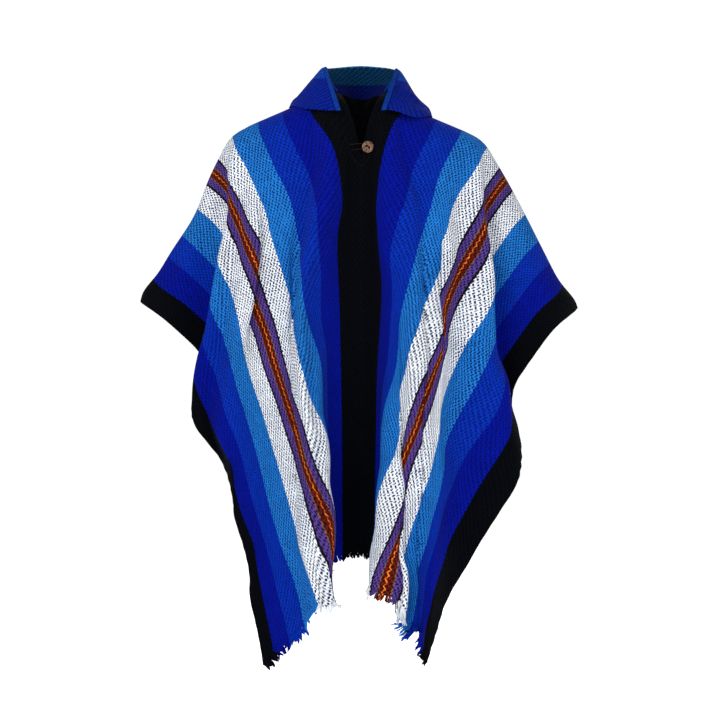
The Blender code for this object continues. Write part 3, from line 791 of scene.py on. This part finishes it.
lines = [[] for _ in range(6)]
for face, rho, fold, middle, brim, edge in COLLAR:
    seam = centre_edge(1, face, np.array([rho]))[0][0]
    foot = seam + unit(np.array(fold) - seam) * FOOT + np.array([0.0, 0.0, 0.0014])
    stand = (foot + np.array(fold)) / 2 * np.array([1.08, 1, 1]) + np.array([0.0, 0.002, 0.0])
    for line, spot in zip(lines, (foot, stand, fold, middle, brim, edge)):
        line.append(np.array(spot, float))
mirror = np.array([-1, 1, 1])
around = [spline([spot * mirror for spot in line] + line[-2::-1],
                 np.linspace(0, 1, COLLAR_AROUND + 1)) for line in lines]
collar = settled(np.array([spline([line[i] for line in around], np.linspace(0, 1, COLLAR_DOWN + 1))
                           for i in range(COLLAR_AROUND + 1)]))
warp_way = run_length(collar, 0)
ends = np.minimum(warp_way, warp_way[-1] - warp_way)
weft_way = run_length(collar, 1)
weft_way -= weft_way[:, [FOLD_AT]]
fall = np.clip(weft_way / 0.06, 0, 1) ** 2
outward = unit(np.cross(*np.gradient(collar, axis=(0, 1))))
roll = np.exp(-((weft_way / weft_way[:, -1:] - 0.72) / 0.17) ** 2) * np.clip(ends / 0.05, 0, 1)
ripple = fall * 0.0011 * np.sin(38 * warp_way + 3 * np.sin(9 * warp_way))
collar -= outward * (ripple + roll * 0.0055)[..., None]


def rested(points, height):
    """Places lifted off the panels under them to the given height over the middle of the cloth."""
    under_s, under_v, reach, turns = 0.26, 0.30, 0.025, 6
    trees = []
    for marks_s, marks_v, place, normal in grids.values():
        i, j = np.where(marks_s < under_s)[0], np.where(abs(marks_v) < under_v)[0]
        place, normal = place[np.ix_(i, j)], normal[np.ix_(i, j)]
        quads = grid_quads(place.shape)
        trees.append((BVHTree.FromPolygons(place.reshape(-1, 3).tolist(), quads.tolist()),
                      normal.reshape(-1, 3)[quads[:, 0]]))
    for turn in range(turns):
        push = np.zeros_like(points)
        for tree, normal in trees:
            for k in np.ndindex(points.shape[:2]):
                hit, _, quad, _ = tree.find_nearest(points[k].tolist(), reach)
                if hit is not None:
                    short = height - (points[k] - np.array(hit)) @ normal[quad]
                    if short > 0:
                        push[k] += normal[quad] * short
        for axis in (0, 1) * (3 if turn < turns - 1 else 0):
            ends_kept = np.concatenate([push.take([0], axis), push, push.take([-1], axis)], axis)
            n = push.shape[axis]
            push = sum(ends_kept.take(range(k, k + n), axis) for k in range(3)) / 3
        points = points + push
    return points


collar[:, REST_FROM:] = rested(collar[:, REST_FROM:], WALL / 2 + COLLAR_WALL / 2 + 0.0005)
quads = grid_quads(ends.shape)
both, faces = thicken(collar.reshape(-1, 3), quads, COLLAR_WALL)
turned = np.clip((STEP - ends.ravel()) / 0.0016, 0, 1)
both[ends.size:] += (both[ends.size:] - both[:ends.size]) * 0.45 * turned[:, None]
uv = np.stack([weft_way + COLLAR_FOLD, warp_way], -1).reshape(-1, 2)
piece = add_mesh("collar_cloth", both, faces, np.tile(uv, (2, 1)), collar_wool)
add_uv(piece.data, "ends", np.repeat(np.tile(ends.ravel(), 2), 2).reshape(-1, 2))
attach(piece, "root")
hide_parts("collar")


# ---- button, cord and sewing ----
def on_cloth(name, s, v):
    """Places and outward normals on the outer face of a panel at the cloth points (s, v)."""
    marks_s, marks_v, place, normal = grids[name]
    x = np.interp(s, marks_s, np.arange(len(marks_s)))
    y = np.interp(v, marks_v, np.arange(len(marks_v)))
    out = unit(between(normal, x, y))
    return between(place, x, y) + out * WALL / 2, out


def cloth_frame(name, s, v):
    """Outer face of the front cloth at (s, v), with the ways across, up and out of it."""
    step = 0.005
    near, _ = on_cloth(name, np.maximum(s + np.array([-step, 0.0, step, 0.0]), 0.001),
                       v + np.array([0.0, -step, 0.0, step]))
    up = unit(near[1] - near[3])
    out = unit(np.cross(near[2] - near[0], up)) * (1 if name == "left" else -1)
    return near.mean(0), unit(np.cross(up, out)), up, out


def tube(line, radius, sides=8):
    """Round strand with closed ends along a line: points and faces."""
    ahead = unit(np.gradient(line, axis=0))
    first = unit(np.cross(ahead[0], (0.3, 0.5, 0.8)))
    points, faces = [], []
    for k, (spot, way) in enumerate(zip(line, ahead)):
        first = unit(first - way * (first @ way))
        second = np.cross(way, first)
        points += [spot + (first * math.cos(a) + second * math.sin(a)) * radius
                   for a in np.arange(sides) * 2 * math.pi / sides]
        if k:
            faces += ring_quads(sides * (k - 1), sides)
    last = len(points) - sides
    return np.array(points), faces + [tuple(range(sides))[::-1], tuple(range(last, last + sides))]


def add_strands(name, strands, material):
    """A piece of several round strands."""
    points, faces = [], []
    for more, rings in strands:
        faces += [tuple(len(points) + k for k in ring) for ring in rings]
        points += list(more)
    return add_mesh(name, points, faces, np.zeros((len(points), 2)), material)


BUTTON_S, BUTTON_T = 0.009, 0.172  # its place on the left panel
# the turned shell from its shank outward: radius and height, then straight in over the dished face
BUTTON_TURN = ((0.0021, 0.0004), (0.0021, 0.0036), (0.0090, 0.0040), (0.0105, 0.0054),
               (0.0101, 0.0068), (0.0086, 0.0074), (0.0072, 0.0068))
BUTTON_SIDES, PROFILE, DISH = 72, 31, 26  # corners, and rings in the profile and in the face
HOLE_DEEP, GROOVE_DEEP = 0.0024, 0.0004
CORD_R, CORD_LAY = 0.0009, 0.0042  # the loop's cord: radius, and way in which its plies turn once
PLY_R, PLY_OFF = 0.00056, 0.00052

base, across, up, out = cloth_frame("left", BUTTON_S, BUTTON_T)
turn = np.concatenate([spline(BUTTON_TURN, np.linspace(0, 1, PROFILE)),
                       np.stack([np.linspace(0.0070, 0.0001, DISH), np.full(DISH, 0.0067)], -1)])
angle = np.arange(BUTTON_SIDES) * 2 * math.pi / BUTTON_SIDES
r, h = turn[:, :1] + 0 * angle, turn[:, 1:] + 0 * angle
x, y = r * np.cos(angle), r * np.sin(angle)
dish = np.arange(len(turn))[:, None] >= PROFILE
along, aside = x * COS + y * SIN, y * COS - x * SIN
reach = np.hypot(np.abs(along) - HOLES, aside)
h = h - dish * HOLE_DEEP * np.clip(1.35 - reach / HOLE_R, 0, 1) ** 0.7
groove = np.clip(1 - np.abs(np.abs(along) - HOLES) / 0.0007, 0, 1) * (np.abs(aside) < 0.0048)
h = h - dish * GROOVE_DEEP * groove
points = base + x[..., None] * across + y[..., None] * up + h[..., None] * out
ids = np.arange(x.size).reshape(x.shape)
faces = [quad for ring in ids[:-1, 0] for quad in ring_quads(ring, BUTTON_SIDES)]
faces += [ids[0, ::-1], ids[-1]]
piece = add_mesh("button_shell", points.reshape(-1, 3), faces,
                 np.stack([x, y], -1).reshape(-1, 2), shell)
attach(piece, "root")
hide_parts("button")

# two strands of thread, arched from hole to hole
THREAD_R, THREAD_OFF = 0.00042, 0.00040
thread = [base + (across * COS + up * SIN) * HOLES * f
          + out * (0.0056 + 0.0016 * math.sqrt(max(1 - f * f, 0))) for f in np.linspace(-1, 1, 15)]
beside = up * COS - across * SIN
piece = add_strands("button_thread", [tube(np.array(thread) + beside * shift, THREAD_R)
                                      for shift in (-THREAD_OFF, THREAD_OFF)], brown_cord)
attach(piece, "root")

# the loop: round the button's shank, then flat over the right panel to its two sewn ends
path = [base + across * x + up * y + out * (0.0012 + CORD_R + rise) for x, y, rise in (
    (-0.009, 0.0044, 0.0006), (-0.003, 0.0040, 0.0), (0.0014, 0.0036, 0.0), (0.0038, 0.0, 0.0),
    (0.0014, -0.0036, 0.0), (-0.003, -0.0040, 0.0), (-0.009, -0.0044, 0.0006))]
for s, high in ((0.004, 0.0027), (0.013, 0.0010)):
    ends = [cloth_frame("right", s, BUTTON_T + y) for y in (-0.005, 0.005)]
    ends = [place + away * high for place, _, _, away in ends]
    path = [ends[0]] + path + [ends[1]]
line = spline(path, np.linspace(0, 1, 241))
ahead = unit(np.gradient(line, axis=0))
aside = unit(np.cross(ahead, out))
above = np.cross(aside, ahead)
turns = run_length(line, 0)[:, None] * 2 * math.pi / CORD_LAY
plies = [tube(line + (aside * np.cos(turns + k) + above * np.sin(turns + k)) * PLY_OFF, PLY_R)
         for k in (0.0, math.pi)]
piece = add_strands("loop_cord", plies, brown_cord)
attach(piece, "root")
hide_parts("button_loop")


def stitch_tree():
    """Geometry Nodes that lay stitches along the edges of a mesh with an attribute "outward"."""
    tree = bpy.data.node_groups.new("stitches", "GeometryNodeTree")
    for name, kind in (("Geometry", "NodeSocketGeometry"), ("Gap", "NodeSocketFloat"),
                       ("Length", "NodeSocketFloat"), ("Thickness", "NodeSocketFloat"),
                       ("Turn", "NodeSocketFloat"), ("Seed", "NodeSocketInt"),
                       ("Material", "NodeSocketMaterial")):
        tree.interface.new_socket(name=name, in_out="INPUT", socket_type=kind)
    tree.interface.new_socket(name="Geometry", in_out="OUTPUT", socket_type="NodeSocketGeometry")
    given = node(tree, "NodeGroupInput").outputs
    curve = output(tree, "GeometryNodeMeshToCurve", {"Mesh": given["Geometry"]})
    spots = output(tree, "GeometryNodeResampleCurve", {"Curve": curve, "Length": given["Gap"]},
                   mode="LENGTH")
    outward = output(tree, "GeometryNodeInputNamedAttribute", {"Name": "outward"},
                     data_type="FLOAT_VECTOR")
    upright = output(tree, "FunctionNodeAlignRotationToVector", {"Vector": outward}, axis="Z")
    ahead = output(tree, "FunctionNodeAlignRotationToVector", {
        "Rotation": upright, "Vector": output(tree, "GeometryNodeInputTangent")},
        axis="X", pivot_axis="Z")
    loose = output(tree, "FunctionNodeRandomValue", {
        "Min": (-0.08, -0.08, -0.22), "Max": (0.08, 0.08, 0.22), "Seed": given["Seed"]},
        data_type="FLOAT_VECTOR")
    turned = output(tree, "ShaderNodeVectorMath", {0: vector(tree, z=given["Turn"]), 1: loose})
    turned = output(tree, "FunctionNodeEulerToRotation", {0: turned})
    turned = output(tree, "FunctionNodeRotateRotation", {"Rotation": ahead, "Rotate By": turned},
                    rotation_space="LOCAL")
    half = scaled(tree, given["Length"], 0.5)
    deep = scaled(tree, given["Thickness"], -1.2)
    arch = output(tree, "GeometryNodeCurveQuadraticBezier", {
        "Resolution": 8, "Start": vector(tree, scaled(tree, half, -1.0), z=deep),
        "Middle": vector(tree, z=scaled(tree, deep, -2.2)), "End": vector(tree, half, z=deep)})
    round_ = output(tree, "GeometryNodeCurvePrimitiveCircle", {
        "Resolution": 6, "Radius": given["Thickness"]})
    stitch = output(tree, "GeometryNodeCurveToMesh", {
        "Curve": arch, "Profile Curve": round_, "Fill Caps": True})
    laid = output(tree, "GeometryNodeInstanceOnPoints", {
        "Points": spots, "Instance": stitch, "Rotation": turned})
    real = output(tree, "GeometryNodeRealizeInstances", {0: laid})
    real = output(tree, "GeometryNodeSetShadeSmooth", {0: real})
    node(tree, "NodeGroupOutput", {0: output(tree, "GeometryNodeSetMaterial", {
        "Geometry": real, "Material": given["Material"]})})
    return tree


stitches = stitch_tree()


def sew(name, rows, slot, **values):
    """A piece of stitches along rows, each of them places and outward normals."""
    places = np.concatenate([row[0] for row in rows])
    starts = np.cumsum([0] + [len(row[0]) for row in rows])
    edges = [(k, k + 1) for a, b in zip(starts, starts[1:]) for k in range(a, b - 1)]
    mesh = bpy.data.meshes.new(name)
    mesh.from_pydata(places.tolist(), edges, [])
    layer = mesh.attributes.new("outward", "FLOAT_VECTOR", "POINT")
    layer.data.foreach_set("vector", np.concatenate([row[1] for row in rows]).astype(float).ravel())
    piece = add_object(name, mesh)
    modifier = piece.modifiers.new("stitches", "NODES")
    modifier.node_group = stitches
    for item in stitches.interface.items_tree:
        if item.in_out == "INPUT" and item.name in values:
            modifier[item.identifier] = values[item.name]
    graph = bpy.context.evaluated_depsgraph_get()
    piece.data = bpy.data.meshes.new_from_object(piece.evaluated_get(graph))
    piece.modifiers.remove(modifier)
    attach(piece, "root")
    return piece


def seam_row(v_from, v_to):
    """The centre seam's outer side from one place to another."""
    v = np.linspace(v_from, v_to, 120)
    sides = [on_cloth(name, 0 * v, v) for name in ("right", "left")]
    place, normal = ((a + b) / 2 for a, b in zip(*sides))
    place[:, 0], normal[:, 0] = 0.0, 0.0
    return place, unit(normal)


def slit_row(name):
    """The U of reinforcing stitches below the end of the slit, on one panel."""
    knots = ((0.0165, 0.158), (0.0150, 0.180), (0.0095, 0.199), (0.0015, 0.2065))
    return on_cloth(name, *spline(knots, np.linspace(0, 1, 40)).T)


inset = 0.002
sew("centre_seam", [seam_row(SLIT_FRONT + inset, PANEL_L - inset),
                    seam_row(-SLIT_BACK - inset, -PANEL_L + inset)], "striped_wool",
    Gap=0.0062, Length=0.0066, Thickness=0.0006, Turn=0.85, Seed=3, Material=seam_yarn)
sew("slit_stitches", [slit_row("right"), slit_row("left")], "striped_wool",
    Gap=0.0046, Length=0.0036, Thickness=0.0006, Turn=0.15, Seed=5, Material=slit_yarn)
j = np.arange(FOLD_AT + 1, COLLAR_DOWN)
way = warp_way[:, COLLAR_DOWN * 3 // 4]
i = [int(np.argmin(abs(from_end - STITCH_LINE))) for from_end in (way, way[-1] - way)]
sewn = sew("collar_stitches",
           [(collar[k, j] - outward[k, j] * COLLAR_WALL * 0.75, -outward[k, j]) for k in i],
           "collar_wool", Gap=0.0052, Length=0.0034, Thickness=0.0004, Turn=0.0, Seed=7,
           Material=hem_thread)

# ---- camera, light and floor ----
PIXEL, PIXELS = 0.00185, 720  # size of a pixel at the garment's middle, and picture width
DISTANCE = 3.6
EYE = (-PIXEL, -DISTANCE, -0.4588)  # level with the middle of the garment
eye = bpy.data.cameras.new("camera")
eye.sensor_width = 36
eye.lens = 36 * DISTANCE / (PIXELS * PIXEL)
camera = add_object("camera", eye)
camera.location = EYE
camera.rotation_euler = (math.pi / 2, 0, 0)
bpy.context.scene.camera = camera

for name, place, size, power in (("key", (-1.7, -3.0, 1.5), 2.2, 70),
                                 ("fill", (2.3, -2.6, 0.2), 2.4, 26),
                                 ("back", (0.3, 2.8, 1.5), 2.0, 44)):
    lamp = bpy.data.lights.new(name, "AREA")
    lamp.size, lamp.energy = size, power
    light = add_object(name, lamp)
    light.location = place
    aim = -np.array(place) + np.array((0, 0, -0.5))
    light.rotation_euler = (math.atan2(math.hypot(aim[0], aim[1]), -aim[2]), 0,
                            math.atan2(aim[1], aim[0]) - math.pi / 2)

# white all round: bright to the eye, softer as a light
world = bpy.data.worlds.new("studio")
world.use_nodes = True
tree = world.node_tree
tree.nodes.clear()
ray = node(tree, "ShaderNodeLightPath").outputs["Is Camera Ray"]
white = output(tree, "ShaderNodeBackground", {
    0: (1.0, 1.0, 1.0, 1.0), 1: scaled(tree, ray, 0.60, 0.45)})
node(tree, "ShaderNodeOutputWorld", {0: white})
bpy.context.scene.world = world
bpy.context.scene.view_settings.view_transform = "Standard"

FLOOR_R, FLOOR_Z, FLOOR_SIDES = 6, -1.25, 48
around = [(FLOOR_R * math.cos(a), FLOOR_R * math.sin(a), FLOOR_Z)
          for a in np.arange(FLOOR_SIDES) * 2 * math.pi / FLOOR_SIDES]
paper, tree = new_material("white paper sweep")
shader = output(tree, "ShaderNodeBsdfPrincipled", {
    "Base Color": srgb("f6f6f6"), "Roughness": 0.9, "Emission Color": srgb("ffffff"),
    "Emission Strength": 0.75})
node(tree, "ShaderNodeOutputMaterial", {0: shader})
floor = add_mesh("floor", around, [tuple(range(FLOOR_SIDES))], np.zeros((FLOOR_SIDES, 2)), paper)
floor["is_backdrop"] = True

low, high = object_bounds()
